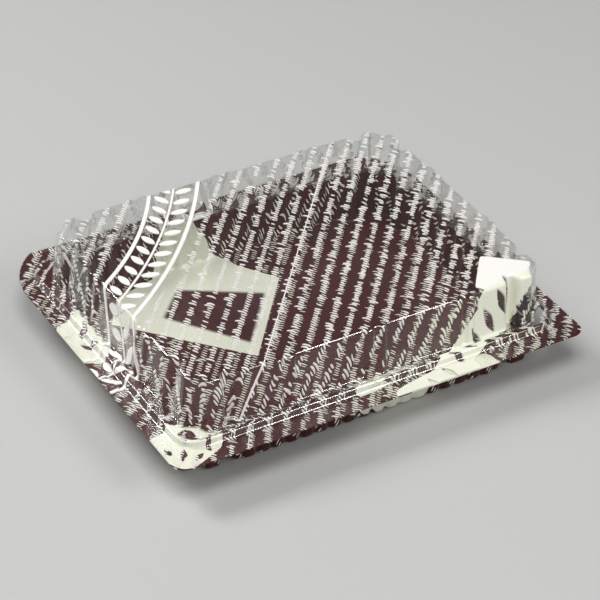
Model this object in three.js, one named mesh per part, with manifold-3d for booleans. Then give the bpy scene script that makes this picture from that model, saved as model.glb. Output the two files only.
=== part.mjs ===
// A hinged sandwich pack, thermoformed from thin clear sheet: a printed tray with fluted walls and a
// clear domed lid that folds over on a crease along the rear edge. Millimetres, +Z up, +X along the
// crease, -Y to the front edge where the pack opens. The origin is under the middle of the tray's floor.

import * as THREE from 'three';
import { mergeVertices } from 'three/addons/utils/BufferGeometryUtils.js';
import Module from 'manifold-3d';

const wasm = await Module();
wasm.setup();

// Driving dimensions

const SHEET = 0.3; // thickness of the formed sheet
const SEAT_CLEARANCE = 0.3; // air between the lid and the tray wherever one lies on the other

const RIM_LENGTH = 190; // outside length of both rims, along X
const RIM_WIDTH = 155.4; // from the rims' front edge to the crease, along Y
const TRAY_CORNER_RADIUS = 6; // front corners of the tray's rim
const LID_CORNER_RADIUS = 9; // front corners of the lid's rim, cut back so that a finger finds the tray's
const REAR_CORNER_RADIUS = 32; // the sweep of the rims into the crease
const CREASE_SETBACK = 14.2; // the straight fold ends this far in from each end of the rims
const CREASE_BEAD_WIDTH = 2.6; // the rounded bead that each rim forms beside the fold
const CREASE_BEAD_HEIGHT = 0.9;

const BODY_SHIFT_X = 1.2; // the formed bodies sit this far off the rims' middle, along X
const END_RIM = 7; // width of the rims outside the raised seal that the two halves nest on, at the ends
const FRONT_RIM = 8.4; // in front
const REAR_RIM = 10.4; // and at the rear
const SEAL_HEIGHT = 3;
const SEAL_CORNER_RADIUS = 10;
const SEAL_DRAFT = 0.3;
const SEAL_EDGE = 0.5; // bevel along the seal's upper edge

const TRAY_DEPTH = 18; // from the top of the tray's rim to the underside of its floor
const LID_HEIGHT = 25; // from the top of the lid's rim to its top panel
const END_LEDGE = 4.6; // width of the ledge between the seal and the walls, at the ends
const LONG_LEDGE = 4.9; // and along the front and the rear
const WALL_DRAFT = 1.8; // how far a wall leans in over its height
const LID_EDGE_RADIUS = 1.9; // rounding between the lid's walls and its top panel
const FLOOR_EDGE_RADIUS = 1.6; // rounding between the tray's walls and its floor

const LOBE_LENGTH = 17.8; // from a corner of the body to the notch that parts its lobe from the long wall
const LOBE_WIDTH = 18.9; // and to the notch in the short wall
const NOTCH_DEPTH = 4.2;
const NOTCH_MOUTH = 3.8;
const NOTCH_BOTTOM = 1.8;
const WALL_END_RADIUS = 4;
const LOBE_RADIUS = 2.4; // rounding of its knuckles
const LOBE_END_RADIUS = 3.4; // and of its ends at the notches
const LOBE_STEP = 7.8; // each lobe has two knuckles, this far from the corner of the body
const LOBE_VALLEY = 5.4; // the valley between the knuckles
const VALLEY_RADIUS = 1.2;

const RIB_HEIGHT = 1.1; // the lid's walls carry pairs of small upright ribs
const RIB_FOOT = 4.6;
const RIB_CREST = 2.2;
const RIB_PITCH = 5.8; // between the two ribs of a pair
const RIB_PAIRS_X = [0, 0.633]; // pairs along the long walls, as shares of the way to a notch
const RIB_PAIRS_Y = [0.46]; // pairs along the short walls

const FLUTE_PITCH = 6.6; // the tray's walls are fluted from notch to notch
const FLUTE_HEIGHT = 1;
const FLUTE_FOOT = 0.1; // a flute starts at this share of its pitch
const FLUTE_CREST = 0.3; // and is at its full height from this share, both mirrored at its other side

const RIM_TOP = TRAY_DEPTH; // height of the tray's rim, upper side
const LID_RIM_TOP = RIM_TOP + SEAT_CLEARANCE + SHEET;
const CREASE_Y = RIM_WIDTH / 2;
const CREASE_LENGTH = RIM_LENGTH - 2 * CREASE_SETBACK;
const SEAL_LENGTH = RIM_LENGTH - 2 * END_RIM;
const SEAL_WIDTH = RIM_WIDTH - FRONT_RIM - REAR_RIM;
const BODY_SHIFT_Y = (FRONT_RIM - REAR_RIM) / 2;
const BODY_LENGTH = SEAL_LENGTH - 2 * END_LEDGE;
const BODY_WIDTH = SEAL_WIDTH - 2 * LONG_LEDGE;
const NOTCH_FROM_MIDDLE_X = BODY_LENGTH / 2 - LOBE_LENGTH;
const NOTCH_FROM_MIDDLE_Y = BODY_WIDTH / 2 - LOBE_WIDTH;

// Outlines: closed, counter-clockwise lists of points

/**
 * A corner of an outline: where it is, its rounding and the straight pieces that the rounding gets. A
 * corner of a rib or a flute also holds the way in from its wall, which is the way that it moves.
 */
const corner = (x, y, radius = 0, pieces = 1, wayIn = null) => ({ x, y, radius, pieces, wayIn });

/** Turns corners into points, with an arc in place of each corner that has a radius. */
function roundCorners(corners) {
  const points = [];
  corners.forEach((c, i) => {
    const here = new THREE.Vector2(c.x, c.y);
    if (!c.radius) {
      points.push(here);
      return;
    }
    const before = corners.at(i - 1);
    const after = corners[(i + 1) % corners.length];
    const back = new THREE.Vector2(before.x, before.y).sub(here).normalize();
    const ahead = new THREE.Vector2(after.x, after.y).sub(here).normalize();
    const half = Math.acos(THREE.MathUtils.clamp(back.dot(ahead), -1, 1)) / 2;
    const centre = back.clone().add(ahead).normalize().multiplyScalar(c.radius / Math.sin(half)).add(here);
    const from = back.clone().multiplyScalar(c.radius / Math.tan(half)).add(here).sub(centre);
    const to = ahead.clone().multiplyScalar(c.radius / Math.tan(half)).add(here).sub(centre);
    const turn = Math.atan2(from.cross(to), from.dot(to));
    for (let k = 0; k <= c.pieces; k++) {
      points.push(from.clone().rotateAround(new THREE.Vector2(), (turn * k) / c.pieces).add(centre));
    }
  });
  return points;
}

/** The direction that moves a point of a closed outline inwards so that both its edges move by one. */
function inwardStep(before, here, after) {
  const a = here.clone().sub(before).normalize();
  const b = after.clone().sub(here).normalize();
  const normal = new THREE.Vector2(-a.y - b.y, a.x + b.x).normalize();
  return normal.divideScalar(Math.max(normal.dot(new THREE.Vector2(-a.y, a.x)), 0.5));
}

/** The same outline with every edge moved inwards, or outwards for a negative distance. */
function inset(points, distance) {
  return points.map((p, i) => {
    const step = inwardStep(points.at(i - 1), p, points[(i + 1) % points.length]);
    return step.multiplyScalar(distance).add(p);
  });
}

/**
 * Corners moved inwards: an outward corner's rounding shrinks and an inward one's grows, and ribs and
 * flutes move with their wall and keep their shape.
 */
function insetCorners(corners, distance) {
  const smallest = 2 * SHEET;
  return corners.map((c, i) => {
    if (c.wayIn) {
      return corner(c.x + c.wayIn.x * distance, c.y + c.wayIn.y * distance, 0, 1, c.wayIn);
    }
    const before = corners.at(i - 1);
    const after = corners[(i + 1) % corners.length];
    const here = new THREE.Vector2(c.x, c.y);
    const a = new THREE.Vector2(before.x, before.y);
    const b = new THREE.Vector2(after.x, after.y);
    const moved = inwardStep(a, here, b).multiplyScalar(distance).add(here);
    const outward = here.clone().sub(a).cross(b.clone().sub(here)) > 0;
    const radius = outward ? c.radius - distance : c.radius + distance;
    return corner(moved.x, moved.y, Math.max(radius, smallest), c.pieces);
  });
}

/** The outline of a rim: round front corners, and wide sweeps at the rear that end at the crease. */
function rimOutline(frontRadius) {
  const halfLength = RIM_LENGTH / 2;
  const halfWidth = RIM_WIDTH / 2;
  const sweepX = halfLength - REAR_CORNER_RADIUS;
  const sweepAngle = Math.acos((CREASE_LENGTH / 2 - sweepX) / REAR_CORNER_RADIUS);
  const sweepY = halfWidth - REAR_CORNER_RADIUS * Math.sin(sweepAngle);
  const pieces = 8;
  const right = [];
  for (let k = 0; k <= pieces; k++) {
    const angle = (sweepAngle * k) / pieces;
    right.push(corner(
      sweepX + REAR_CORNER_RADIUS * Math.cos(angle),
      sweepY + REAR_CORNER_RADIUS * Math.sin(angle),
    ));
  }
  const left = right.map((c) => corner(-c.x, c.y)).reverse();
  const front = [-1, 1].map((side) => corner(side * halfLength, -halfWidth, frontRadius, 5));
  return roundCorners([...right, ...left, ...front]);
}

/** The outline of the raised seal, at a distance inside the lid's outer face. */
function sealOutline(distance) {
  const x = SEAL_LENGTH / 2 - distance;
  const y = SEAL_WIDTH / 2 - distance;
  const radius = SEAL_CORNER_RADIUS - distance;
  const signs = [[1, 1], [-1, 1], [-1, -1], [1, -1]];
  return roundCorners(signs.map(([sx, sy]) => corner(sx * x, sy * y + BODY_SHIFT_Y, radius, 6)));
}

/** Corners of the lid's rib pairs between two notches, as distances along and out from the wall. */
function ribs(pairs, notchFromMiddle) {
  const middles = pairs
    .flatMap((share) => (share ? [-share, share] : [0]))
    .map((share) => share * notchFromMiddle)
    .sort((a, b) => a - b);
  return middles.flatMap((m) => [m - RIB_PITCH / 2, m + RIB_PITCH / 2]).flatMap((at) => [
    [at - RIB_FOOT / 2, 0],
    [at - RIB_CREST / 2, RIB_HEIGHT],
    [at + RIB_CREST / 2, RIB_HEIGHT],
    [at + RIB_FOOT / 2, 0],
  ]);
}

/** Corners of the tray's flutes, filling the wall from notch to notch. */
function flutes(notchFromMiddle) {
  const plain = WALL_END_RADIUS + NOTCH_MOUTH / 2;
  const count = Math.floor((2 * (notchFromMiddle - plain)) / FLUTE_PITCH);
  const start = (-count * FLUTE_PITCH) / 2;
  const made = [];
  for (let k = 0; k < count; k++) {
    const at = start + k * FLUTE_PITCH;
    made.push([at + FLUTE_PITCH * FLUTE_FOOT, 0], [at + FLUTE_PITCH * FLUTE_CREST, FLUTE_HEIGHT]);
    made.push([at + FLUTE_PITCH * (1 - FLUTE_CREST), FLUTE_HEIGHT], [at + FLUTE_PITCH * (1 - FLUTE_FOOT), 0]);
  }
  return made;
}

/** The two mouths and the bottom of a notch, seen along the wall: distance along, distance out. */
function notch(at, lobeSide) {
  const ends = [
    [-1, NOTCH_MOUTH / 2, 0],
    [-1, NOTCH_BOTTOM / 2, -NOTCH_DEPTH],
    [1, NOTCH_BOTTOM / 2, -NOTCH_DEPTH],
    [1, NOTCH_MOUTH / 2, 0],
  ];
  return ends.map(([side, half, out]) => {
    const radius = out ? NOTCH_BOTTOM / 2 : side === lobeSide ? LOBE_END_RADIUS : WALL_END_RADIUS;
    return [at + side * half, out, radius, out ? 2 : 4];
  });
}

/**
 * Corners of a formed body with four two-knuckled lobes, notches beside them and a pattern of ribs or
 * flutes along each wall, at the height where the walls meet the ledge.
 */
function bodyCorners(longPattern, shortPattern) {
  const halfX = BODY_LENGTH / 2;
  const halfY = BODY_WIDTH / 2;
  const sides = [
    { half: halfX, other: halfY, notchAt: NOTCH_FROM_MIDDLE_Y, pattern: shortPattern, turn: 0 },
    { half: halfY, other: halfX, notchAt: NOTCH_FROM_MIDDLE_X, pattern: longPattern, turn: 1 },
  ];
  const corners = [];
  for (const quarter of [0, 1, 2, 3]) {
    const { half, other, notchAt, pattern } = sides[quarter % 2];
    const along = [
      [LOBE_STEP - other, 0, LOBE_RADIUS, 3],
      ...notch(-notchAt, -1),
      ...pattern,
      ...notch(notchAt, 1),
      [other - LOBE_STEP, 0, LOBE_RADIUS, 3],
      [other - LOBE_VALLEY, -LOBE_VALLEY, VALLEY_RADIUS, 2],
    ];
    const turn = (quarter * Math.PI) / 2;
    const middle = new THREE.Vector2();
    for (const [s, out, radius = 0, pieces = 1] of along) {
      const p = new THREE.Vector2(half + out, s).rotateAround(middle, turn);
      const wayIn = radius ? null : new THREE.Vector2(-1, 0).rotateAround(middle, turn);
      corners.push(corner(p.x + BODY_SHIFT_X, p.y + BODY_SHIFT_Y, radius, pieces, wayIn));
    }
  }
  return corners;
}

// Formed sheet

/** Triangles of a flat region inside one outline and, if there is one, outside another. */
function flatRegion(outer, inner) {
  const points = inner ? [...outer, ...inner] : outer;
  return THREE.ShapeUtils.triangulateShape(outer, inner ? [inner] : []).map(([a, b, c]) => {
    const turn = points[b].clone().sub(points[a]).cross(points[c].clone().sub(points[a]));
    return turn > 0 ? [a, b, c] : [a, c, b];
  });
}

/**
 * A sheet of even thickness, as a closed solid. Its upper face runs from the first ring, which is its
 * outer edge, to a flat panel inside the last. Two rings with as many points are joined by a wall, and
 * two rings at one height by a flat ledge. A ring's lean says where the under side goes: inwards (1)
 * where the sheet rises, outwards (-1) where it falls.
 */
function formedSheet(rings) {
  const sides = [1, -1].map((side) => rings.map((ring) => ({
    points: side > 0 ? ring.points : inset(ring.points, ring.lean * SHEET),
    z: side > 0 ? ring.z : ring.z - SHEET,
  })));
  const positions = [];
  const triangles = [];
  const starts = sides.map((side) => side.map(({ points, z }) => {
    const start = positions.length / 3;
    points.forEach((p) => positions.push(p.x, p.y, z));
    return start;
  }));
  sides.forEach((side, s) => {
    const add = (a, b, c) => triangles.push(...(s ? [a, c, b] : [a, b, c]));
    side.forEach((ring, k) => {
      const start = starts[s][k];
      const next = side[k + 1];
      const count = ring.points.length;
      if (!next || next.z === ring.z) {
        const lift = (i) => (i < count ? start + i : starts[s][k + 1] + i - count);
        flatRegion(ring.points, next?.points).forEach(([a, b, c]) => add(lift(a), lift(b), lift(c)));
        return;
      }
      for (let i = 0; i < count; i++) {
        const j = (i + 1) % count;
        add(start + i, start + j, starts[s][k + 1] + j);
        add(start + i, starts[s][k + 1] + j, starts[s][k + 1] + i);
      }
    });
  });
  const edge = rings[0].points.length;
  for (let i = 0; i < edge; i++) {
    const j = (i + 1) % edge;
    triangles.push(starts[1][0] + i, starts[1][0] + j, starts[0][0] + j);
    triangles.push(starts[1][0] + i, starts[0][0] + j, starts[0][0] + i);
  }
  const geometry = new THREE.BufferGeometry();
  geometry.setAttribute('position', new THREE.Float32BufferAttribute(positions, 3));
  geometry.setIndex(triangles);
  return geometry;
}

const ringOf = (points, z, lean) => ({ points, z, lean });

/** The rounded edge between a wall and a panel: rings that turn through a quarter circle. */
function edgeRings(corners, wallInset, panelZ, radius, rising) {
  const pieces = 2;
  const rings = [];
  for (let k = 0; k <= pieces; k++) {
    const angle = (k * Math.PI) / 2 / pieces;
    const inwards = wallInset + radius * (1 - Math.cos(angle));
    const short = radius * (1 - Math.sin(angle));
    const points = roundCorners(insetCorners(corners, inwards));
    rings.push(ringOf(points, rising ? panelZ - short : panelZ + short, rising ? 1 : -1));
  }
  return rings;
}

// Solids

function solidFrom(geometry) {
  const bare = geometry.clone();
  bare.deleteAttribute('normal');
  bare.deleteAttribute('uv');
  const merged = mergeVertices(bare, 1e-4);
  return new wasm.Manifold(new wasm.Mesh({
    numProp: 3,
    vertProperties: merged.attributes.position.array,
    triVerts: new Uint32Array(merged.index.array),
  }));
}

function geometryFrom(solid) {
  const mesh = solid.getMesh();
  const geometry = new THREE.BufferGeometry();
  geometry.setAttribute('position', new THREE.BufferAttribute(mesh.vertProperties, 3));
  geometry.setIndex(new THREE.BufferAttribute(mesh.triVerts, 1));
  return geometry;
}

/** The bead beside the crease: an arch of sheet along X, bulging up (1) or down (-1) from a rim. */
function creaseBead(rimTop, bulge) {
  const half = CREASE_BEAD_WIDTH / 2;
  const pieces = 8;
  const outer = [];
  const inner = [];
  for (let k = 0; k <= pieces; k++) {
    const angle = (Math.PI * k) / pieces;
    outer.push([half * Math.cos(angle), CREASE_BEAD_HEIGHT * Math.sin(angle)]);
    inner.unshift([(half - SHEET) * Math.cos(angle), (CREASE_BEAD_HEIGHT - SHEET) * Math.sin(angle)]);
  }
  const face = bulge > 0 ? rimTop - SHEET : rimTop;
  const shape = new THREE.Shape([...outer, ...inner].map(([u, v]) => new THREE.Vector2(u, v * bulge)));
  const length = CREASE_LENGTH - 2 * SHEET;
  const arch = new THREE.ExtrudeGeometry(shape, { depth: length, bevelEnabled: false });
  arch.rotateX(Math.PI / 2).rotateZ(Math.PI / 2);
  arch.translate(-length / 2, CREASE_Y - half, face);
  return arch;
}

/** A rim's sheet with the strip beside the crease replaced by its bead. */
function withCreaseBead(sheet, rimTop, bulge) {
  const strip = new THREE.BoxGeometry(CREASE_LENGTH - 2 * SHEET, CREASE_BEAD_WIDTH - 2 * SHEET, 3 * SHEET);
  strip.translate(0, CREASE_Y - CREASE_BEAD_WIDTH / 2, rimTop - SHEET / 2);
  const opened = solidFrom(sheet).subtract(solidFrom(strip));
  return geometryFrom(opened.add(solidFrom(creaseBead(rimTop, bulge))));
}

function trayGeometry() {
  const gap = SHEET + SEAT_CLEARANCE; // the tray's seal stands this far inside the lid's
  const ledge = RIM_TOP + SEAL_HEIGHT;
  const body = bodyCorners(flutes(NOTCH_FROM_MIDDLE_X), flutes(NOTCH_FROM_MIDDLE_Y));
  return withCreaseBead(formedSheet([
    ringOf(rimOutline(TRAY_CORNER_RADIUS), RIM_TOP, 0),
    ringOf(sealOutline(gap), RIM_TOP, 1),
    ringOf(sealOutline(gap + SEAL_DRAFT), ledge - SEAL_EDGE, 1),
    ringOf(sealOutline(gap + SEAL_DRAFT + SEAL_EDGE), ledge, 1),
    ringOf(roundCorners(body), ledge, -1),
    ...edgeRings(body, WALL_DRAFT, SHEET, FLOOR_EDGE_RADIUS, false),
  ]), RIM_TOP, -1);
}

function lidGeometry() {
  const ledge = LID_RIM_TOP + SEAL_HEIGHT;
  const body = bodyCorners(ribs(RIB_PAIRS_X, NOTCH_FROM_MIDDLE_X), ribs(RIB_PAIRS_Y, NOTCH_FROM_MIDDLE_Y));
  return withCreaseBead(formedSheet([
    ringOf(rimOutline(LID_CORNER_RADIUS), LID_RIM_TOP, 0),
    ringOf(sealOutline(0), LID_RIM_TOP, 1),
    ringOf(sealOutline(SEAL_DRAFT), ledge - SEAL_EDGE, 1),
    ringOf(sealOutline(SEAL_DRAFT + SEAL_EDGE), ledge, 1),
    ringOf(roundCorners(body), ledge, 1),
    ...edgeRings(body, WALL_DRAFT, LID_RIM_TOP + LID_HEIGHT, LID_EDGE_RADIUS, true),
  ]), LID_RIM_TOP, 1);
}

// The pack

const PRINTED_SHEET = new THREE.MeshStandardMaterial({ color: 0x4a2026, roughness: 0.22, metalness: 0 });
const CLEAR_SHEET = new THREE.MeshStandardMaterial({
  color: 0xe8ecea,
  roughness: 0.08,
  metalness: 0,
  transparent: true,
  opacity: 0.35,
});

function piece(name, geometry, material) {
  geometry.computeVertexNormals();
  const mesh = new THREE.Mesh(geometry, material);
  mesh.name = name;
  return mesh;
}

const pack = new THREE.Group();
pack.add(piece('tray', trayGeometry(), PRINTED_SHEET));
pack.add(piece('lid', lidGeometry(), CLEAR_SHEET));

export default pack;
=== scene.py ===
"""A hinged sandwich pack of thin clear sheet, with its print, on a pale studio floor."""

import logging
import math
from dataclasses import dataclass, field
from enum import Enum
from typing import NamedTuple, Sequence

import bpy
from mathutils import Matrix, Vector
from mathutils.geometry import tessellate_polygon


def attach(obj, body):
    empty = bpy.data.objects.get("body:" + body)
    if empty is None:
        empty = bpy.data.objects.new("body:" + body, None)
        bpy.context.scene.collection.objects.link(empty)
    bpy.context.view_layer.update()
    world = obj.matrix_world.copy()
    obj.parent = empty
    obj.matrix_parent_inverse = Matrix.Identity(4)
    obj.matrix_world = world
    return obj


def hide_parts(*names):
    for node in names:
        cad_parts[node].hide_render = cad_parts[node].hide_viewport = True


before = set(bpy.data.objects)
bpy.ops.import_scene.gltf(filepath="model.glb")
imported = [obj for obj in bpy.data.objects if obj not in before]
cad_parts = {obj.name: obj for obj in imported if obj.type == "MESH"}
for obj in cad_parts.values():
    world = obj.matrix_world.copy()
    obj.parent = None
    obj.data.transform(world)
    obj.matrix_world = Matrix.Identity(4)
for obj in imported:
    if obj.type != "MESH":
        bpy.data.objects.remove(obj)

LOG = logging.getLogger("sandwich_pack")
MM = 0.001
LEAST_MITRE = 0.5
LEAST_ROUNDING = 0.6
TINY_AREA = 1e-9
Socket = bpy.types.NodeSocket
Value = Socket | float
Colour = tuple[float, float, float]
Place = tuple[float, float, float]


def add_object(name: str, data: bpy.types.ID) -> bpy.types.Object:
    """Adds an object to the scene."""
    made = bpy.data.objects.new(name, data)
    bpy.context.scene.collection.objects.link(made)
    return made


@dataclass(frozen=True)
class Corner:
    """A corner of an outline, in millimetres, with its rounding and the way in from its wall."""

    x: float
    y: float
    radius: float = 0.0
    pieces: int = 1
    way_in: tuple[float, float] | None = None

    @property
    def point(self) -> Vector:
        """The corner as a vector."""
        return Vector((self.x, self.y))


def round_corners(corners: Sequence[Corner]) -> list[Vector]:
    """Turns corners into points, with an arc in place of each corner that has a radius.

    Args:
        corners: the corners of a closed outline, counter-clockwise.

    Returns:
        The outline's points, in millimetres.
    """
    points = []
    for i, corner in enumerate(corners):
        here = corner.point
        if corner.radius <= 0:
            points.append(here)
            continue
        back = (corners[i - 1].point - here).normalized()
        ahead = (corners[(i + 1) % len(corners)].point - here).normalized()
        half = math.acos(max(-1.0, min(1.0, back.dot(ahead)))) / 2
        centre = here + (back + ahead).normalized() * (corner.radius / math.sin(half))
        reach = corner.radius / math.tan(half)
        start = here + back * reach - centre
        end = here + ahead * reach - centre
        turn = math.atan2(start.x * end.y - start.y * end.x, start.dot(end))
        for k in range(corner.pieces + 1):
            spun = start.copy()
            spun.rotate(Matrix.Rotation(turn * k / corner.pieces, 2))
            points.append(centre + spun)
    return points


def inward_step(before: Vector, here: Vector, after: Vector) -> Vector:
    """The move of a point of a closed outline that moves both its edges inwards by one."""
    a = (here - before).normalized()
    b = (after - here).normalized()
    normal = Vector((-a.y - b.y, a.x + b.x)).normalized()
    return normal / max(normal.dot(Vector((-a.y, a.x))), LEAST_MITRE)


def inset_points(points: Sequence[Vector], distance: float) -> list[Vector]:
    """The outline with every edge moved inwards, or outwards for a negative distance."""
    count = len(points)
    return [
        p + inward_step(points[i - 1], p, points[(i + 1) % count]) * distance
        for i, p in enumerate(points)
    ]


def inset_corners(corners: Sequence[Corner], distance: float) -> list[Corner]:
    """Corners moved inwards, where ribs and flutes move with their wall and keep their shape.

    Args:
        corners: the corners of a closed outline, counter-clockwise.
        distance: how far the walls move inwards, in millimetres.

    Returns:
        The moved corners.
    """
    moved = []
    for i, corner in enumerate(corners):
        if corner.way_in:
            at = corner.point + Vector(corner.way_in) * distance
            moved.append(Corner(at.x, at.y, corner.radius, corner.pieces, corner.way_in))
            continue
        before = corners[i - 1].point
        after = corners[(i + 1) % len(corners)].point
        at = corner.point + inward_step(before, corner.point, after) * distance
        a = corner.point - before
        b = after - corner.point
        outward = a.x * b.y - a.y * b.x > 0
        radius = corner.radius - distance if outward else corner.radius + distance
        moved.append(Corner(at.x, at.y, max(radius, LEAST_ROUNDING), corner.pieces))
    return moved


def round_steps(radius: float, steps: int) -> list[tuple[float, float]]:
    """The points of a quarter circle, by what each still lacks sideways and in height.

    Args:
        radius: the circle's radius.
        steps: how many equal turns the quarter is cut into.

    Returns:
        The radius times one less the sine, and times one less the cosine, from 0 to 90 degrees.
    """
    turns = [math.pi / 2 * k / steps for k in range(steps + 1)]
    return [(radius * (1 - math.sin(a)), radius * (1 - math.cos(a))) for a in turns]


class WallPattern(Enum):
    """What stands on a formed body's walls."""

    RIB_PAIRS = "rib pairs"
    FLUTES = "flutes"


@dataclass(frozen=True)
class Rim:
    """The flat rim that both halves have, with its sweeps into the crease."""

    length: float = 190.0
    width: float = 155.4
    rear_radius: float = 32.0
    crease_setback: float = 14.2
    bead_width: float = 2.6
    bead_height: float = 0.9
    bead_end_gap: float = 0.3
    sweep_pieces: int = 24
    front_pieces: int = 14

    @property
    def bead_half_length(self) -> float:
        """Half the length of the bead beside the crease."""
        return self.length / 2 - self.crease_setback - self.bead_end_gap

    def outline(self, front_radius: float) -> list[Vector]:
        """The rim's outer outline.

        Args:
            front_radius: rounding of the two front corners.

        Returns:
            The outline's points, counter-clockwise.
        """
        half_x = self.length / 2
        half_y = self.width / 2
        sweep_x = half_x - self.rear_radius
        sweep = math.acos((half_x - self.crease_setback - sweep_x) / self.rear_radius)
        sweep_y = half_y - self.rear_radius * math.sin(sweep)
        right = []
        for k in range(self.sweep_pieces + 1):
            angle = sweep * k / self.sweep_pieces
            x = sweep_x + self.rear_radius * math.cos(angle)
            right.append(Corner(x, sweep_y + self.rear_radius * math.sin(angle)))
        right.append(Corner(self.bead_half_length, half_y))
        right.append(Corner(self.bead_half_length, half_y - self.bead_width))
        left = [Corner(-c.x, c.y) for c in reversed(right)]
        pieces = self.front_pieces
        front = [Corner(side * half_x, -half_y, front_radius, pieces) for side in (-1, 1)]
        return round_corners([*right, *left, *front])


@dataclass(frozen=True)
class Seal:
    """The raised seal on which the halves nest, as a rounded rectangle."""

    length: float = 176.0
    width: float = 136.6
    height: float = 3.0
    corner_radius: float = 10.0
    draft: float = 0.3
    foot_radius: float = 1.2
    edge_radius: float = 1.0
    shift_y: float = -1.0
    corner_pieces: int = 16
    round_pieces: int = 4

    def outline(self, distance: float) -> list[Vector]:
        """The seal's outline at a distance inside the lid's outer face."""
        x = self.length / 2 - distance
        y = self.width / 2 - distance
        radius = self.corner_radius - distance
        places = [(x, y), (-x, y), (-x, -y), (x, -y)]
        return round_corners(
            [Corner(cx, cy + self.shift_y, radius, self.corner_pieces) for cx, cy in places]
        )


class WallPoint(NamedTuple):
    """A corner of a wall's plan: how far along the wall and out of it, and its rounding."""

    along: float
    out: float
    radius: float
    pieces: int
    moves_with_wall: bool = False


@dataclass(frozen=True)
class Body:
    """A formed body: four two-knuckled lobes, notches beside them and patterned walls."""

    pattern: WallPattern
    length: float = 166.8
    width: float = 126.8
    shift_x: float = 1.2
    shift_y: float = -1.0
    lobe_length: float = 17.8
    lobe_width: float = 18.9
    notch_depth: float = 4.2
    notch_mouth: float = 3.8
    notch_bottom: float = 1.8
    wall_end_radius: float = 4.0
    lobe_radius: float = 2.4
    lobe_step: float = 7.8
    lobe_valley: float = 5.4
    lobe_pieces: int = 6
    valley_pieces: int = 5
    notch_pieces: int = 7
    mouth_extra: float = 1.0
    rib_height: float = 1.1
    rib_foot: float = 4.6
    rib_crest: float = 2.2
    rib_pitch: float = 5.8
    rib_radius: float = 0.9
    long_wall_pairs: tuple[float, ...] = (0.0, 0.633)
    short_wall_pairs: tuple[float, ...] = (0.46,)
    flute_pitch: float = 6.6
    flute_height: float = 1.0
    flute_foot: float = 0.1
    flute_crest: float = 0.3
    flute_foot_radius: float = 1.4
    flute_crest_radius: float = 1.7
    pattern_pieces: int = 3

    def _ribs(self, shares: Sequence[float], notch_at: float) -> list[WallPoint]:
        """Rounded rib pairs, at shares of the way from the wall's middle to its notches."""
        foot = self.rib_foot / 2
        crest = self.rib_crest / 2
        section = ((-foot, 0.0), (-crest, self.rib_height), (crest, self.rib_height), (foot, 0.0))
        rounding = (self.rib_radius, self.pattern_pieces, True)
        middles = sorted({sign * share * notch_at for share in shares for sign in (-1, 1)})
        return [
            WallPoint(middle + side * self.rib_pitch / 2 + along, out, *rounding)
            for middle in middles
            for side in (-1, 1)
            for along, out in section
        ]

    def _flutes(self, notch_at: float) -> list[WallPoint]:
        """Rounded flutes from notch to notch, whose section is in shares of their pitch."""
        pitch = self.flute_pitch
        plain = self.wall_end_radius + self.notch_mouth / 2
        count = math.floor(2 * (notch_at - plain) / pitch)
        section = (
            (self.flute_foot, 0.0, self.flute_foot_radius),
            (self.flute_crest, self.flute_height, self.flute_crest_radius),
            (1 - self.flute_crest, self.flute_height, self.flute_crest_radius),
            (1 - self.flute_foot, 0.0, self.flute_foot_radius),
        )
        return [
            WallPoint((k - count / 2 + share) * pitch, out, radius, self.pattern_pieces, True)
            for k in range(count)
            for share, out, radius in section
        ]

    def _notch(self, at: float, lobe_side: int) -> list[WallPoint]:
        """The mouths and the bottom of a notch, whose lobe is on its side -1 or 1."""
        mouth = self.notch_mouth / 2
        bottom = self.notch_bottom / 2
        made = []
        for side, half, out in (
            (-1, mouth, 0.0),
            (-1, bottom, -self.notch_depth),
            (1, bottom, -self.notch_depth),
            (1, mouth, 0.0),
        ):
            radius = self.wall_end_radius
            if out:
                radius = bottom
            elif side == lobe_side:
                radius = self.lobe_radius + self.mouth_extra
            made.append(WallPoint(at + side * half, out, radius, self.notch_pieces))
        return made

    def corners(self) -> list[Corner]:
        """The body's corners where its walls meet the ledge."""
        half_x = self.length / 2
        half_y = self.width / 2
        notch_x = half_x - self.lobe_length
        notch_y = half_y - self.lobe_width
        if self.pattern is WallPattern.FLUTES:
            long_wall, short_wall = self._flutes(notch_x), self._flutes(notch_y)
        else:
            long_wall = self._ribs(self.long_wall_pairs, notch_x)
            short_wall = self._ribs(self.short_wall_pairs, notch_y)
        sides = ((half_x, half_y, notch_y, short_wall), (half_y, half_x, notch_x, long_wall))
        made = []
        for quarter in range(4):
            half, other, notch_at, pattern = sides[quarter % 2]
            turn = Matrix.Rotation(quarter * math.pi / 2, 2)
            inwards = tuple(turn @ Vector((-1.0, 0.0)))
            lobe_at = other - self.lobe_step
            valley = self.lobe_valley
            wall = [
                WallPoint(-lobe_at, 0.0, self.lobe_radius, self.lobe_pieces),
                *self._notch(-notch_at, -1),
                *pattern,
                *self._notch(notch_at, 1),
                WallPoint(lobe_at, 0.0, self.lobe_radius, self.lobe_pieces),
                WallPoint(other - valley, -valley, self.lobe_radius / 2, self.valley_pieces),
            ]
            for point in wall:
                at = turn @ Vector((half + point.out, point.along))
                x, y = at.x + self.shift_x, at.y + self.shift_y
                way_in = inwards if point.moves_with_wall else None
                made.append(Corner(x, y, point.radius, point.pieces, way_in))
        return made


@dataclass(frozen=True)
class Ring:
    """One level of a formed sheet: its outline, its height and where its under side goes."""

    points: list[Vector]
    z: float
    lean: float


@dataclass
class Skin:
    """The points and faces of a sheet, and whether each face is smooth to its neighbours."""

    verts: list[Place] = field(default_factory=list)
    faces: list[tuple[int, ...]] = field(default_factory=list)
    soft: list[bool] = field(default_factory=list)

    def add_face(self, corners: tuple[int, ...], upright: bool, soft: bool) -> None:
        """Adds a face, turned over where it isn't upright."""
        self.faces.append(corners if upright else corners[::-1])
        self.soft.append(soft)


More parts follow.
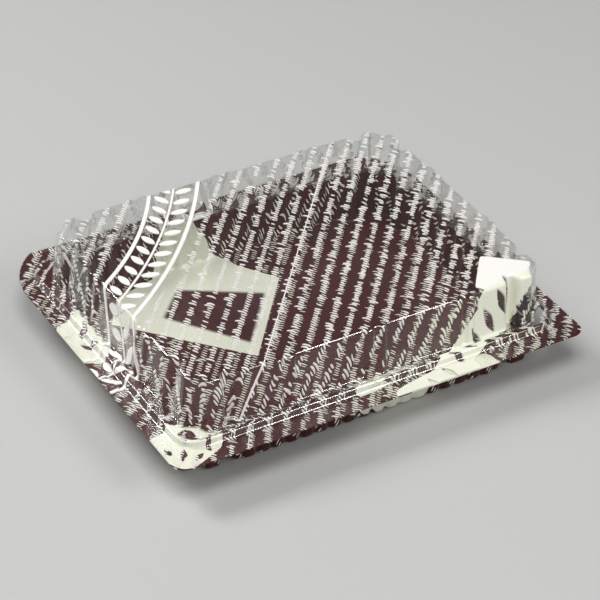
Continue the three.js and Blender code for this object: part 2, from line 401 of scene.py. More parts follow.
@dataclass(frozen=True)
class CreaseBead:
    """The rounded bead of a rim beside the crease, bulging up (1) or down (-1)."""

    rim: Rim
    rim_z: float
    bulge: int
    thickness: float
    pieces: int = 14

    def extend(self, skin: Skin) -> None:
        """Adds the bead's closed arch to a sheet's skin."""
        half = self.rim.bead_width / 2
        height = self.rim.bead_height
        face = self.rim_z - self.thickness if self.bulge > 0 else self.rim_z
        pieces = self.pieces
        section = []
        for wide, high, order in (
            (half, height, range(pieces + 1)),
            (half - self.thickness, height - self.thickness, range(pieces, -1, -1)),
        ):
            for k in order:
                angle = math.pi * k / pieces
                y = self.rim.width / 2 - half + wide * math.cos(angle)
                section.append((y, face + self.bulge * high * math.sin(angle)))
        start = len(skin.verts)
        count = len(section)
        for x in (-self.rim.bead_half_length, self.rim.bead_half_length):
            skin.verts += [(x, y, z) for y, z in section]
        for i in range(count):
            j = (i + 1) % count
            quad = (start + i, start + j, start + count + j, start + count + i)
            skin.add_face(quad, self.bulge > 0, i not in (pieces, count - 1))
        for end, upright in ((start, self.bulge < 0), (start + count, self.bulge > 0)):
            for k in range(pieces):
                quad = (end + k, end + k + 1, end + count - 2 - k, end + count - 1 - k)
                skin.add_face(quad, upright, False)


@dataclass
class FormedSheet:
    """A sheet formed through rings, from its outer edge to the flat panel in its middle.

    Two rings of one point count are joined by a wall, and two of different counts by a ledge.
    """

    name: str
    thickness: float
    panel_z: float
    half_x: float
    half_y: float
    wall_stretch: float
    bead: CreaseBead
    stretch_power: int = 8
    rings: list[Ring] = field(default_factory=list)

    def add(self, points: list[Vector], z: float, lean: float) -> None:
        """Adds the next level inwards."""
        self.rings.append(Ring(points, z, lean))

    def _print_place(self, x: float, y: float, z: float) -> tuple[float, float]:
        """Where a point of the formed sheet lay on the printed film, in millimetres."""
        drop = abs(self.panel_z - z) * self.wall_stretch
        wx = min(abs(x) / self.half_x, 1.0) ** self.stretch_power
        wy = min(abs(y) / self.half_y, 1.0) ** self.stretch_power
        return x + math.copysign(wx * drop, x), y + math.copysign(wy * drop, y)

    @staticmethod
    def _flat(outer: list[Vector], inner: list[Vector] | None) -> list[tuple[int, int, int]]:
        """Triangles between two outlines, or inside one, all facing up."""
        loops = [[Vector((p.x, p.y, 0)) for p in loop] for loop in (outer, inner) if loop]
        points = [p for loop in loops for p in loop]
        faces = []
        for a, b, c in tessellate_polygon(loops):
            u = points[b] - points[a]
            v = points[c] - points[a]
            area = u.x * v.y - u.y * v.x
            if abs(area) > TINY_AREA:
                faces.append((a, b, c) if area > 0 else (a, c, b))
        return faces

    def _outline(self, k: int, side: int) -> list[Vector]:
        """A ring's points on the sheet's upper (1) or under (-1) side."""
        ring = self.rings[k]
        return ring.points if side > 0 else inset_points(ring.points, ring.lean * self.thickness)

    def _join(self, k: int, side: int, row: list[int], skin: Skin) -> None:
        """Joins a ring to the next one by a wall or a ledge, or closes the last with a panel.

        Args:
            k: which ring.
            side: the sheet's upper (1) or under (-1) side.
            row: where each ring's points start on that side.
            skin: the sheet's points and faces so far.
        """
        count = len(self.rings[k].points)
        last = k + 1 == len(self.rings)
        if not last and len(self.rings[k + 1].points) == count:
            for i in range(count):
                j = (i + 1) % count
                quad = (row[k] + i, row[k] + j, row[k + 1] + j, row[k + 1] + i)
                skin.add_face(quad, side > 0, True)
            return
        inner = None if last else self._outline(k + 1, side)
        for tri in self._flat(self._outline(k, side), inner):
            lifted = tuple(row[k] + i if i < count else row[k + 1] + i - count for i in tri)
            skin.add_face(lifted, side > 0, False)

    def build(self) -> bpy.types.Object:
        """Makes the sheet's closed mesh, with the film's print coordinates as its UV map.

        Returns:
            The new object, in metres, in the frame's place.
        """
        skin = Skin()
        starts: list[list[int]] = []
        for side in (1, -1):
            row = []
            for k, ring in enumerate(self.rings):
                row.append(len(skin.verts))
                z = ring.z if side > 0 else ring.z - self.thickness
                skin.verts += [(p.x, p.y, z) for p in self._outline(k, side)]
            starts.append(row)
        for side, row in zip((1, -1), starts):
            for k in range(len(self.rings)):
                self._join(k, side, row, skin)
        upper, under = starts[0][0], starts[1][0]
        edge = len(self.rings[0].points)
        for i in range(edge):
            j = (i + 1) % edge
            skin.add_face((under + i, under + j, upper + j, upper + i), True, False)
        self.bead.extend(skin)
        return self._mesh_object(skin)

    def _mesh_object(self, skin: Skin) -> bpy.types.Object:
        """Turns the sheet's skin into an object with smooth walls and flat ledges."""
        mesh = bpy.data.meshes.new(self.name)
        mesh.from_pydata([(x * MM, y * MM, z * MM) for x, y, z in skin.verts], [], skin.faces)
        film = mesh.uv_layers.new(name="film")
        places = [self._print_place(*v) for v in skin.verts]
        for loop in mesh.loops:
            film.data[loop.index].uv = places[loop.vertex_index]
        mesh.polygons.foreach_set("use_smooth", [True] * len(skin.faces))
        flat_edges = set()
        for polygon, soft in zip(mesh.polygons, skin.soft):
            if not soft:
                flat_edges.update(polygon.edge_keys)
        for e in mesh.edges:
            if e.key in flat_edges:
                e.use_edge_sharp = True
        mesh.validate()
        return add_object(self.name, mesh)


@dataclass(frozen=True)
class Pack:
    """The sizes that the two halves share, in millimetres."""

    sheet: float = 0.3
    clearance: float = 0.3
    tray_depth: float = 18.0
    lid_height: float = 25.0
    wall_draft: float = 1.8
    lid_edge_radius: float = 1.9
    floor_edge_radius: float = 1.6
    tray_corner_radius: float = 6.0
    lid_corner_radius: float = 9.0
    foot_radius: float = 0.8
    wall_stretch: float = 0.55
    foot_pieces: int = 4
    wall_levels: int = 7
    edge_pieces: int = 6
    rim: Rim = Rim()
    seal: Seal = Seal()

    @property
    def lid_rim_top(self) -> float:
        """Height of the lid's rim, upper side."""
        return self.tray_depth + self.clearance + self.sheet

    def _add_seal(
        self, sheet: FormedSheet, front_radius: float, inside: float, rim_z: float
    ) -> None:
        """Adds the rim and the raised seal, with its rounded foot and edge."""
        seal = self.seal
        top = rim_z + seal.height
        sheet.add(self.rim.outline(front_radius), rim_z, 0)
        for out, lift in round_steps(seal.foot_radius, seal.round_pieces):
            sheet.add(seal.outline(inside - out), rim_z + lift, 1)
        for short, inwards in round_steps(seal.edge_radius, seal.round_pieces):
            sheet.add(seal.outline(inside + seal.draft + inwards), top - short, 1)

    def _add_body(
        self, sheet: FormedSheet, body: Body, ledge_z: float, panel_z: float, edge: float
    ) -> None:
        """Adds the walls from the ledge to the panel, with a rounded foot and edge."""
        rising = 1 if panel_z > ledge_z else -1
        corners = body.corners()
        for out, lift in round_steps(self.foot_radius, self.foot_pieces):
            outline = round_corners(inset_corners(corners, -out))
            sheet.add(outline, ledge_z + rising * lift, rising)
        start = ledge_z + rising * self.foot_radius
        end = panel_z - rising * edge
        for k in range(1, self.wall_levels):
            share = k / self.wall_levels
            outline = round_corners(inset_corners(corners, self.wall_draft * share))
            sheet.add(outline, start + (end - start) * share, rising)
        for short, inwards in round_steps(edge, self.edge_pieces):
            outline = round_corners(inset_corners(corners, self.wall_draft + inwards))
            sheet.add(outline, panel_z - rising * short, rising)

    def _new_sheet(
        self, name: str, panel_z: float, body: Body, rim_z: float, bulge: int
    ) -> FormedSheet:
        """An empty sheet whose film is stretched down its walls."""
        half_x = body.length / 2 - self.wall_draft
        half_y = body.width / 2 - self.wall_draft
        bead = CreaseBead(self.rim, rim_z, bulge, self.sheet)
        return FormedSheet(name, self.sheet, panel_z, half_x, half_y, self.wall_stretch, bead)

    def tray(self) -> bpy.types.Object:
        """Builds the tray."""
        body = Body(WallPattern.FLUTES)
        sheet = self._new_sheet("tray_sheet", self.sheet, body, self.tray_depth, -1)
        inside = self.sheet + self.clearance
        self._add_seal(sheet, self.tray_corner_radius, inside, self.tray_depth)
        ledge = self.tray_depth + self.seal.height
        self._add_body(sheet, body, ledge, self.sheet, self.floor_edge_radius)
        return sheet.build()

    def lid(self) -> bpy.types.Object:
        """Builds the lid."""
        body = Body(WallPattern.RIB_PAIRS)
        panel = self.lid_rim_top + self.lid_height
        sheet = self._new_sheet("lid_sheet", panel, body, self.lid_rim_top, 1)
        self._add_seal(sheet, self.lid_corner_radius, 0.0, self.lid_rim_top)
        ledge = self.lid_rim_top + self.seal.height
        self._add_body(sheet, body, ledge, panel, self.lid_edge_radius)
        return sheet.build()


STRIPE_SOFTNESS = 0.12


def opaque(colour: Colour) -> tuple[float, float, float, float]:
    """A colour with full alpha."""
    return (*colour, 1.0)


@dataclass
class Graph:
    """Adds nodes to a material's tree and hands back their sockets."""

    tree: bpy.types.ShaderNodeTree

    def feed(self, socket: Socket, value: Value | tuple) -> None:
        """Links a socket, or sets it where the value is plain."""
        if isinstance(value, Socket):
            self.tree.links.new(value, socket)
        else:
            socket.default_value = value

    def add(self, kind: str, values: dict[str, Value | tuple]) -> bpy.types.Node:
        """One shader node of a kind, with the inputs that are named fed."""
        node = self.tree.nodes.new("ShaderNode" + kind)
        for name, value in values.items():
            self.feed(node.inputs[name], value)
        return node

    def math(self, operation: str, *values: Value) -> Socket:
        """One Math node."""
        node = self.tree.nodes.new("ShaderNodeMath")
        node.operation = operation
        for socket, value in zip(node.inputs, values):
            self.feed(socket, value)
        return node.outputs[0]

    def plus(self, a: Value, b: Value) -> Socket:
        """a + b."""
        return self.math("ADD", a, b)

    def minus(self, a: Value, b: Value) -> Socket:
        """a - b."""
        return self.math("SUBTRACT", a, b)

    def times(self, a: Value, b: Value) -> Socket:
        """a * b."""
        return self.math("MULTIPLY", a, b)

    def most(self, *values: Value) -> Value:
        """The largest of the values."""
        top = values[0]
        for value in values[1:]:
            top = self.math("MAXIMUM", top, value)
        return top

    def fade(self, value: Value, low: float, high: float) -> Socket:
        """0 at low and 1 at high, with a smooth step between; low may be above high."""
        node = self.add("MapRange", {"Value": value})
        node.interpolation_type = "SMOOTHSTEP"
        flip = low > high
        node.inputs["From Min"].default_value = min(low, high)
        node.inputs["From Max"].default_value = max(low, high)
        node.inputs["To Min"].default_value = 1.0 if flip else 0.0
        node.inputs["To Max"].default_value = 0.0 if flip else 1.0
        return node.outputs["Result"]

    def squared(self, a: Value) -> Socket:
        """a squared."""
        return self.math("POWER", a, 2.0)

    def stripe(self, off: Value, width: float) -> Socket:
        """1 where a distance is less than half the width, and 0 beyond."""
        away = self.math("ABSOLUTE", off)
        return self.fade(away, width / 2 + STRIPE_SOFTNESS, width / 2 - STRIPE_SOFTNESS)

    def split_steps(self, steps: Value, pitch: float) -> tuple[Socket, Socket]:
        """A count of steps as its whole number and the distance from that step's middle."""
        whole = self.math("FLOOR", steps)
        return whole, self.times(self.minus(self.minus(steps, whole), 0.5), pitch)

    def joined(self, a: Value, b: Value) -> Socket:
        """Two values as a vector."""
        return self.add("CombineXYZ", {"X": a, "Y": b}).outputs[0]

    def chance(self, a: Value, b: Value) -> tuple[Socket, Socket, Socket]:
        """Three even random numbers for a pair of whole numbers."""
        noise = self.add("TexWhiteNoise", {"Vector": self.joined(a, b)})
        noise.noise_dimensions = "2D"
        return tuple(self.add("SeparateColor", {"Color": noise.outputs["Color"]}).outputs)

    def clouds(self, vector: Socket, scale: float, detail: float, roughness: float) -> Socket:
        """Soft noise around one half."""
        values = {"Vector": vector, "Scale": scale, "Detail": detail, "Roughness": roughness}
        return self.add("TexNoise", values).outputs["Fac"]

    def mix_colours(
        self, share: Value, a: Socket | tuple, b: Socket | tuple, blend: str = "MIX"
    ) -> Socket:
        """A blend of two colours, all a at a share of 0."""
        node = self.tree.nodes.new("ShaderNodeMix")
        node.data_type = "RGBA"
        node.blend_type = blend
        for name, value in (("Factor", share), ("A", a), ("B", b)):
            self.feed(node.inputs[name], value)
        return node.outputs["Result"]

    def mix_shaders(self, share: Value, first: Socket, second: Socket) -> Socket:
        """A mix of two shaders, all first at a share of 0."""
        node = self.tree.nodes.new("ShaderNodeMixShader")
        for socket, value in zip(node.inputs, (share, first, second)):
            self.feed(socket, value)
        return node.outputs[0]

    def turned(
        self, u: Value, v: Value, x: float, y: float, angle: float
    ) -> tuple[Socket, Socket]:
        """Coordinates from a point, turned by an angle in degrees."""
        c = math.cos(math.radians(angle))
        s = math.sin(math.radians(angle))
        du = self.minus(u, x)
        dv = self.minus(v, y)
        along = self.plus(self.times(du, c), self.times(dv, s))
        across = self.minus(self.times(dv, c), self.times(du, s))
        return along, across


@dataclass(frozen=True)
class SeedRows:
    """Rows of small slanted seed shapes, in runs with gaps, at the scale of small print."""

    angle: float
    pitch: float
    cell: float
    height: float
    width: float
    gap_share: float = 0.16
    row_salt: float = 7.0
    start_cells: float = 9.0
    bend: float = 0.4
    least_slant: float = 0.05
    slant_spread: float = 0.5
    tall_above: float = 0.74
    least_height: float = 0.4
    tall_extra: float = 0.36
    height_spread: float = 0.3
    tall_shift: float = 1.6
    tall_middle: float = 0.3
    least_width: float = 0.75
    width_spread: float = 0.6
    softness: float = 0.25

    def mask(self, g: Graph, u: Socket, v: Socket) -> Socket:
        """1 on the seeds and 0 off them.

        Args:
            g: the material's graph.
            u: the film's first coordinate, in millimetres.
            v: the film's second coordinate.

        Returns:
            The mask.
        """
        along, across = g.turned(u, v, 0.0, 0.0, self.angle)
        row, rise = g.split_steps(g.math("DIVIDE", across, self.pitch), self.pitch)
        start, _, _ = g.chance(row, self.row_salt)
        cells = g.plus(g.math("DIVIDE", along, self.cell), g.times(start, self.start_cells))
        cell, run = g.split_steps(cells, self.cell)
        lean, tall, there = g.chance(cell, row)
        bent = g.times(g.times(rise, rise), g.times(g.minus(tall, 0.5), self.bend))
        slant = g.plus(self.least_slant, g.times(lean, self.slant_spread))
        slanted = g.plus(g.minus(run, g.times(rise, slant)), bent)
        is_tall = g.math("GREATER_THAN", tall, self.tall_above)
        share = g.plus(self.least_height, g.times(is_tall, self.tall_extra))
        share = g.plus(share, g.times(there, self.height_spread))
        shift = g.times(g.minus(lean, self.tall_middle), self.tall_shift)
        lifted = g.minus(rise, g.times(is_tall, shift))
        breadth = g.plus(self.least_width, g.times(tall, self.width_spread))
        wide = g.squared(g.math("DIVIDE", slanted, g.times(self.width / 2, breadth)))
        high = g.squared(g.math("DIVIDE", lifted, g.times(self.height / 2, share)))
        seed = g.fade(g.plus(wide, high), 1 + self.softness, 1 - self.softness)
        return g.times(seed, g.math("GREATER_THAN", there, self.gap_share))


@dataclass(frozen=True)
class Blob:
    """A filled oval, or a rounded box for a high power, or a leaf for a low one."""

    x: float
    y: float
    long: float
    wide: float
    angle: float
    power: float = 2.0
    softness: float = 0.5

    def mask(self, g: Graph, u: Socket, v: Socket) -> Socket:
        """1 inside the shape and 0 outside it."""
        parts = []
        for off, size in zip(g.turned(u, v, self.x, self.y, self.angle), (self.long, self.wide)):
            share = g.math("ABSOLUTE", g.math("DIVIDE", off, size / 2))
            parts.append(g.math("POWER", share, self.power))
        soft = self.softness / min(self.long, self.wide)
        return g.fade(g.plus(*parts), 1.0 + soft, 1.0 - soft)


@dataclass(frozen=True)
class Patch:
    """A filled patch with straight sides; its corners go round counterclockwise."""

    corners: tuple[tuple[float, float], ...]
    softness: float = 0.3

    def mask(self, g: Graph, u: Socket, v: Socket) -> Value:
        """1 inside the patch and 0 outside it."""
        inside: Value = 1.0
        for (ax, ay), (bx, by) in zip(self.corners, self.corners[1:] + self.corners[:1]):
            side = math.hypot(bx - ax, by - ay)
            across = (bx - ax) / side
            along = (ay - by) / side
            start = ax * along + ay * across
            off = g.minus(g.plus(g.times(u, along), g.times(v, across)), start)
            inside = g.times(inside, g.fade(off, -self.softness / 2, self.softness / 2))
        return inside


@dataclass(frozen=True)
class Hoop:
    """A narrow stripe along a circle, as a ring round a point."""

    x: float
    y: float
    radius: float
    width: float

    def mask(self, g: Graph, u: Socket, v: Socket) -> Socket:
        """1 on the stripe and 0 off it."""
        return g.stripe(g.minus(self.distance(g, u, v), self.radius), self.width)

    def distance(self, g: Graph, u: Socket, v: Socket) -> Socket:
        """Distance from the circle's middle."""
        total = g.plus(g.squared(g.minus(u, self.x)), g.squared(g.minus(v, self.y)))
        return g.math("SQRT", total)


@dataclass(frozen=True)
class LeafChain:
    """A curved stem round a point with pairs of slanted leaves along it."""

    x: float
    y: float
    radius: float
    pitch: float
    leaf: float
    leaf_width: float
    stem: float
    leaf_middle: float = 0.55
    leaf_angle: float = 58.0
    leaf_power: float = 1.7

    def mask(self, g: Graph, u: Socket, v: Socket) -> Socket:
        """1 on the stem and the leaves and 0 off them."""
        hoop = Hoop(self.x, self.y, self.radius, self.stem)
        away = g.math("ABSOLUTE", g.minus(hoop.distance(g, u, v), self.radius))
        turn = g.math("ARCTAN2", g.minus(v, self.y), g.minus(u, self.x))
        steps = g.math("DIVIDE", g.times(turn, self.radius), self.pitch)
        _, run = g.split_steps(steps, self.pitch)
        middle = self.leaf_middle * self.leaf
        leaf = Blob(0.0, middle, self.leaf, self.leaf_width, self.leaf_angle, self.leaf_power)
        return g.most(hoop.mask(g, u, v), leaf.mask(g, run, away))


@dataclass(frozen=True)
class Line:
    """A straight printed rule through a point."""

    x: float
    y: float
    angle: float
    width: float

    def mask(self, g: Graph, u: Socket, v: Socket) -> Socket:
        """1 on the rule and 0 off it."""
        _, across = g.turned(u, v, self.x, self.y, self.angle)
        return g.stripe(across, self.width)


def cover(g: Graph, u: Socket, v: Socket, shapes: Sequence) -> Value:
    """The union of several printed shapes, or nothing where there are none."""
    if not shapes:
        return 0.0
    return g.most(*[shape.mask(g, u, v) for shape in shapes])


@dataclass(frozen=True)
class FilmFinish:
    """Thin clear sheet: nearly see-through face on, brighter and glossier at a slant."""

    name: str
    tint: Colour
    roughness: float
    facing_shine: float
    edge_shine: float
    haze: float
    slant_blend: float = 0.5
    slant_power: float = 3.5
    shine_tone: Colour = (0.9, 0.92, 0.91)
    haze_tone: Colour = (0.86, 0.87, 0.87)
    haze_roughness: float = 0.5

    def shader(self, g: Graph, normal: Socket) -> Socket:
        """Adds the bare film's shader.

        Args:
            g: the material's graph.
            normal: the bumped normal.

        Returns:
            The shader's socket.
        """
        clear = g.add("BsdfTransparent", {"Color": opaque(self.tint)})
        gloss = {
            "Base Color": opaque(self.shine_tone),
            "Metallic": 1.0,
            "Roughness": self.roughness,
            "Normal": normal,
        }
        shine = g.add("BsdfPrincipled", gloss)
        facing = g.add("LayerWeight", {"Blend": self.slant_blend, "Normal": normal})
        slant = g.math("POWER", facing.outputs["Facing"], self.slant_power)
        share = g.plus(self.facing_shine, g.times(slant, self.edge_shine))
        haze = {
            "Base Color": opaque(self.haze_tone),
            "Roughness": self.haze_roughness,
            "Normal": normal,
        }
        dull = g.add("BsdfPrincipled", haze)
        mirror = g.mix_shaders(share, clear.outputs[0], shine.outputs[0])
        return g.mix_shaders(self.haze, mirror, dull.outputs[0])


@dataclass(frozen=True)
class FormedWaves:
    """The small waves that forming leaves in the film."""

    strength: float = 0.1
    distance: float = 0.0012
    scale: float = 34.0
    detail: float = 3.0
    roughness: float = 0.45

    def normal(self, g: Graph) -> Socket:
        """Adds the waves and hands back the bumped normal."""
        place = g.add("TexCoord", {}).outputs["Object"]
        height = g.clouds(place, self.scale, self.detail, self.roughness)
        values = {"Strength": self.strength, "Distance": self.distance, "Height": height}
        return g.add("Bump", values).outputs[0]


@dataclass(frozen=True)
class InkFinish:
    """How the printed ink shines, and how unevenly it is laid."""

    roughness: float = 0.36
    specular: float = 0.2
    coat: float = 0.35
    coat_roughness: float = 0.18
    cloud_scale: float = 1.6
    cloud_detail: float = 4.0
    cloud_roughness: float = 0.5
    least_tone: float = 0.9
    tone_spread: float = 0.2

    def shader(self, g: Graph, tone: Socket, place: Socket, normal: Socket) -> Socket:
        """Adds the ink's shader.

        Args:
            g: the material's graph.
            tone: the inks' colour.
            place: the film's coordinates as a vector.
            normal: the bumped normal.

        Returns:
            The shader's socket.
        """
        clouds = g.clouds(place, self.cloud_scale, self.cloud_detail, self.cloud_roughness)
        even = g.plus(self.least_tone, g.times(clouds, self.tone_spread))
        grey = g.add("CombineColor", {"Red": even, "Green": even, "Blue": even})
        values = {
            "Base Color": g.mix_colours(1.0, tone, grey.outputs[0], "MULTIPLY"),
            "Normal": normal,
            "Roughness": self.roughness,
            "Specular IOR Level": self.specular,
            "Coat Weight": self.coat,
            "Coat Roughness": self.coat_roughness,
        }
        return g.add("BsdfPrincipled", values).outputs[0]


@dataclass(frozen=True)
class PrintedFilm:
    """A clear film with one or two inks on it, over a ground of ink or over the bare film, with a
    painted shade tone on its marks where a wall lies in shade.
    """

    film: FilmFinish
    ground: Colour | None
    ink: Colour
    ink_cover: float
    shapes: tuple
    rows: SeedRows
    knocked_out: tuple
    row_gaps: tuple = ()
    # painted shade: a darker tone for the marks where a wall lies in shade, and the shapes where
    # it is laid
    wall_shade_tone: Colour | None = None
    wall_shade_at: tuple = ()
    ink_finish: InkFinish = InkFinish()
    waves: FormedWaves = FormedWaves()

    def _marks(self, g: Graph, u: Socket, v: Socket) -> Socket:
        """1 on the printed marks: the shapes without their cuts, and the rows beside them."""
        fields = cover(g, u, v, self.shapes)
        solid = g.times(fields, g.minus(1.0, cover(g, u, v, self.knocked_out)))
        rows = g.times(self.rows.mask(g, u, v), g.minus(1.0, cover(g, u, v, self.row_gaps)))
        return g.most(solid, g.times(rows, g.minus(1.0, fields)))

    def _ink_and_shade_tone(self, g: Graph, u: Socket, v: Socket) -> Socket | tuple:
        """The marks' colour, with a painted shade tone where their wall lies in shade."""
        if not self.wall_shade_tone:
            return opaque(self.ink)
        # painted shade: the marks take the darker tone inside these shapes
        second = cover(g, u, v, self.wall_shade_at)
        return g.mix_colours(second, opaque(self.ink), opaque(self.wall_shade_tone))

    def build(self) -> bpy.types.Material:
        """Makes the material."""
        material = bpy.data.materials.new(self.film.name)
        material.use_nodes = True
        tree = material.node_tree
        tree.nodes.clear()
        g = Graph(tree)
        film_map = g.add("UVMap", {})
        film_map.uv_map = "film"
        u, v, _ = g.add("SeparateXYZ", {"Vector": film_map.outputs[0]}).outputs
        normal = self.waves.normal(g)
        marks = self._marks(g, u, v)
        tone = g.mix_colours(marks, opaque(self.ground or self.ink), self._ink_and_shade_tone(g, u, v))
        inked = self.ink_finish.shader(g, tone, g.joined(u, v), normal)
        reach = self.ink_cover if self.ground else g.times(marks, self.ink_cover)
        surface = g.mix_shaders(reach, self.film.shader(g, normal), inked)
        g.add("OutputMaterial", {"Surface": surface})
        return material


WHITE_INK = (0.96, 0.925, 0.89)
# the tray's cream ink; on the lid the same tone is painted shade on the white marks of the front
# wall
CREAM_INK_AND_WALL_SHADE = (0.90, 0.905, 0.765)
PLUM_INK = (0.064, 0.008, 0.011)

LID_FILM = FilmFinish(
    "clear_lid_film",
    tint=(0.985, 0.988, 0.985),
    roughness=0.17,
    facing_shine=0.028,
    edge_shine=0.6,
    haze=0.002,
)
TRAY_FILM = FilmFinish(
    "clear_tray_film",
    tint=(0.95, 0.96, 0.955),
    roughness=0.2,
    facing_shine=0.03,
    edge_shine=0.45,
    haze=0.02,
)

ROW_ANGLE = 49.4
LID_ROWS = SeedRows(ROW_ANGLE, pitch=6.9, cell=1.5, height=3.9, width=0.58)
TRAY_ROWS = SeedRows(ROW_ANGLE, pitch=6.9, cell=1.5, height=3.9, width=0.57)

LEAF_POWER = 1.3


def leaf(x: float, y: float, long: float, wide: float, angle: float) -> Blob:
    """A leaf-shaped cut."""
    return Blob(x, y, long, wide, angle, LEAF_POWER)


def lid_print() -> PrintedFilm:
    """The lid's print: white rows, a leaf chain between two stripes, and a corner field; on the
    front wall and the rim below it the white marks are tinted cream as painted shade.
    """
    outer = Hoop(-165.3, 138.2, radius=153.0, width=1.6)
    inner = Hoop(-218.1, 188.2, radius=244.0, width=1.6)
    chain = LeafChain(-206.5, 176.7, 218.2, pitch=7.6, leaf=7.6, leaf_width=3.3, stem=0.9)
    rule = Line(3.2, -0.8, ROW_ANGLE, width=0.36)
    sweep = (
        Blob(65.2, -57.0, 22.5, 20.8, 51.3, 16.0),
        Blob(60.0, -68.0, 14.0, 19.0, 45.0, 8.0),
        Blob(52.0, -75.0, 62.0, 15.0, 37.0, 6.0),
        Blob(27.0, -91.0, 46.0, 13.0, 8.0, 5.0),
    )
    wall_rule = Blob(-55.5, -69.3, 19.0, 0.95, ROW_ANGLE, 8.0)
    cuts = (
        leaf(66.0, -62.0, 9.5, 3.4, 112.0),
        leaf(61.5, -67.5, 10.0, 3.8, 124.0),
        leaf(55.5, -72.0, 10.0, 3.8, 128.0),
        leaf(49.0, -77.0, 9.5, 3.8, 128.0),
        leaf(42.0, -82.0, 8.5, 3.6, 130.0),
        leaf(34.5, -88.0, 8.0, 3.4, 122.0),
        leaf(24.0, -91.5, 8.0, 3.2, 110.0),
    )
    band = Hoop(-190.0, 162.0, radius=196.0, width=27.0)
    return PrintedFilm(
        film=LID_FILM,
        ground=None,
        ink=WHITE_INK,
        ink_cover=0.93,
        shapes=(outer, inner, chain, rule, wall_rule, *sweep),
        rows=LID_ROWS,
        knocked_out=cuts,
        row_gaps=(band,),
        # painted shade: the white marks on the front wall and rim are tinted cream where the wall
        # lies in shade
        wall_shade_tone=CREAM_INK_AND_WALL_SHADE,
        wall_shade_at=(Blob(40.0, -84.0, 110.0, 41.0, 8.0, 6.0),),
    )


def tray_print() -> PrintedFilm:
    """The tray's print: cream rows and cream fields on plum."""
    floor_field = (
        (-62.8, 38.6), (-19.6, -8.8), (16.1, 34.8), (3.6, 52.5), (-33.0, 59.0), (-52.0, 54.0)
    )
    rear_field = ((-38.0, 48.0), (4.5, 51.0), (3.0, 57.0), (-12.0, 76.0), (-24.0, 76.0))
    floor_window = ((-41.5, 32.5), (-17.6, 0.3), (5.0, 28.0), (-27.0, 47.5))
    fields = (
        Patch(floor_field),
        Patch(rear_field),
        Blob(-92.0, -72.0, 30.0, 26.0, 20.0, 4.0),
        Blob(-96.0, 12.0, 34.0, 22.0, 80.0, 4.0),
        Blob(8.0, -71.0, 42.0, 15.0, 8.0, 5.0),
        Blob(34.0, -88.0, 46.0, 14.0, 8.0, 4.0),
    )
    cuts = (
        Patch(floor_window, softness=2.4),
        Blob(-92.0, -72.0, 8.0, 11.0, 20.0),
        leaf(-97.5, -79.0, 7.0, 2.8, 62.0),
        leaf(-102.0, -74.0, 6.0, 2.4, 100.0),
        leaf(-91.5, -82.5, 6.0, 2.4, 25.0),
        leaf(-84.0, -79.0, 6.0, 2.4, 60.0),
        leaf(-96.0, -70.0, 5.0, 2.2, 80.0),
        leaf(-99.0, 8.0, 7.0, 2.6, 120.0),
        leaf(-97.0, 18.0, 7.0, 2.6, 70.0),
        leaf(-93.0, 12.0, 6.0, 2.4, 95.0),
    )
    return PrintedFilm(
        film=TRAY_FILM,
        ground=PLUM_INK,
        ink=CREAM_INK_AND_WALL_SHADE,
        ink_cover=0.96,
        shapes=fields,
        rows=TRAY_ROWS,
        knocked_out=cuts,
    )


@dataclass(frozen=True)
class PhotoCamera:
    """The photograph's camera, fitted to the rims, the seal and the lid's panel."""

    azimuth: float = -32.419
    elevation: float = 36.021
    roll: float = 2.660
    distance: float = 1057.288
    lens: float = 154.08
    target: Place = (2.144, -4.604, 18.6)
    sensor: float = 36.0
    sight: float = 20.0

    def place(self) -> None:
        """Adds the camera."""
        a, e, r = (math.radians(x) for x in (self.azimuth, self.elevation, self.roll))
        back = Vector((math.sin(a) * math.cos(e), -math.cos(a) * math.cos(e), math.sin(e)))
        right = (-back).cross(Vector((0, 0, 1))).normalized()
        up = right.cross(-back)
        side = right * math.cos(r) + up * math.sin(r)
        top = up * math.cos(r) - right * math.sin(r)
        data = bpy.data.cameras.new("camera")
        data.lens = self.lens
        data.sensor_width = self.sensor
        data.clip_end = self.sight
        made = add_object("camera", data)
        turn = Matrix((side, top, back)).transposed().to_4x4()
        spot = (Vector(self.target) + back * self.distance) * MM
        made.matrix_world = Matrix.Translation(spot) @ turn
        bpy.context.scene.camera = made


@dataclass(frozen=True)
class SoftBox:
    """A soft lamp that looks at the pack, or a small card that only shows in its gloss."""

    name: str
    spot: Place
    size: float
    power: float
    card: bool = False
    looks_at: Place = (0.0, 0.0, 0.02)

    def place(self) -> None:
        """Adds the lamp."""
        data = bpy.data.lights.new(self.name, "AREA")
        data.shape = "SQUARE"
        data.size = self.size
        data.energy = self.power
        made = add_object(self.name, data)
        spot = Vector(self.spot)
        look = (Vector(self.looks_at) - spot).to_track_quat("-Z", "Y")
        made.matrix_world = Matrix.Translation(spot) @ look.to_matrix().to_4x4()
        made.visible_diffuse = not self.card
        made.visible_glossy = self.card


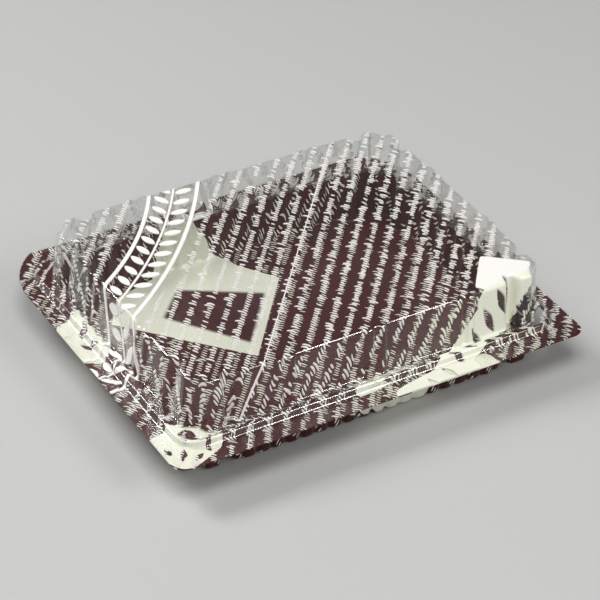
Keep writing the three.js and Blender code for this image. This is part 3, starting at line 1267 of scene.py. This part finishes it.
@dataclass(frozen=True)
class Studio:
    """A pale floor under soft lamps and a dim sky with a pale horizon."""

    floor_tone: float = 0.5
    sky: float = 0.14
    horizon: float = 0.5
    horizon_height: float = 0.2
    glow: float = 0.4
    glow_starts: float = 0.5
    glow_ends: float = 2.2
    half_floor: float = 3.0
    floor_warmth: float = 0.985
    floor_roughness: float = 0.75
    floor_drop: float = 0.0002

    def _floor(self) -> None:
        """Adds the floor, as stage; far from the lamps it glows, so that it stays pale."""
        half = self.half_floor
        mesh = bpy.data.meshes.new("floor")
        corners = [(-half, -half, 0), (half, -half, 0), (half, half, 0), (-half, half, 0)]
        mesh.from_pydata(corners, [], [(0, 1, 2, 3)])
        made = add_object("floor", mesh)
        material = bpy.data.materials.new("floor_paper")
        material.use_nodes = True
        shader = material.node_tree.nodes["Principled BSDF"]
        tone = self.floor_tone
        shader.inputs["Base Color"].default_value = (tone, tone, tone * self.floor_warmth, 1)
        shader.inputs["Roughness"].default_value = self.floor_roughness
        shader.inputs["Emission Color"].default_value = (1, 1, 1, 1)
        g = Graph(material.node_tree)
        away = g.add("VectorMath", {})
        away.operation = "LENGTH"
        g.feed(away.inputs[0], g.add("TexCoord", {}).outputs["Object"])
        far = g.fade(away.outputs["Value"], self.glow_starts, self.glow_ends)
        g.feed(shader.inputs["Emission Strength"], g.times(far, self.glow))
        mesh.materials.append(material)
        made.location.z = -self.floor_drop

    def _sky(self) -> None:
        """Adds the sky, dim above and pale towards the horizon."""
        world = bpy.data.worlds.new("sky")
        world.use_nodes = True
        g = Graph(world.node_tree)
        ray = g.add("TexCoord", {}).outputs["Generated"]
        height = g.add("SeparateXYZ", {"Vector": ray}).outputs["Z"]
        low = g.fade(height, self.horizon_height, 0.0)
        shade = world.node_tree.nodes["Background"]
        shade.inputs["Color"].default_value = (1, 1, 1, 1)
        g.feed(shade.inputs["Strength"], g.plus(self.sky, g.times(low, self.horizon - self.sky)))
        bpy.context.scene.world = world

    def build(self) -> None:
        """Adds the floor, the sky and the lamps."""
        self._floor()
        self._sky()
        bpy.context.scene.view_settings.view_transform = "Standard"
        for lamp in (
            SoftBox("key", (-0.65, 0.75, 1.1), 0.5, 12.0),
            SoftBox("front", (0.62, -1.0, 0.9), 0.5, 6.0),
            SoftBox("top", (-0.3, -0.5, 1.5), 0.7, 13.0),
            SoftBox("front_card", (0.7, -1.15, 1.0), 0.38, 23.0, card=True),
            SoftBox("left_card", (-1.2, -0.7, 1.0), 0.35, 18.0, card=True),
            SoftBox("rear_card", (-0.75, 0.95, 1.0), 0.4, 18.0, card=True),
        ):
            lamp.place()


def dress(
    piece: bpy.types.Object, printed: PrintedFilm, body: str, node: str
) -> None:
    """Gives a piece its print and its place on the frame.

    Args:
        piece: the new sheet.
        printed: its film and print.
        body: the frame's body that it rides on.
        node: the frame's node that it stands for.
    """
    piece.data.materials.append(printed.build())
    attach(piece, body)
    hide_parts(node)
    LOG.info("%s: %d faces", piece.name, len(piece.data.polygons))


def main() -> None:
    """Builds the pack and its studio, in order."""
    logging.basicConfig(level=logging.INFO, format="%(name)s: %(message)s")
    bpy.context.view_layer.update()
    PhotoCamera().place()
    Studio().build()
    pack = Pack()
    dress(pack.tray(), tray_print(), "base", "tray")
    dress(pack.lid(), lid_print(), "cover", "lid")


if __name__ == "__main__":
    main()
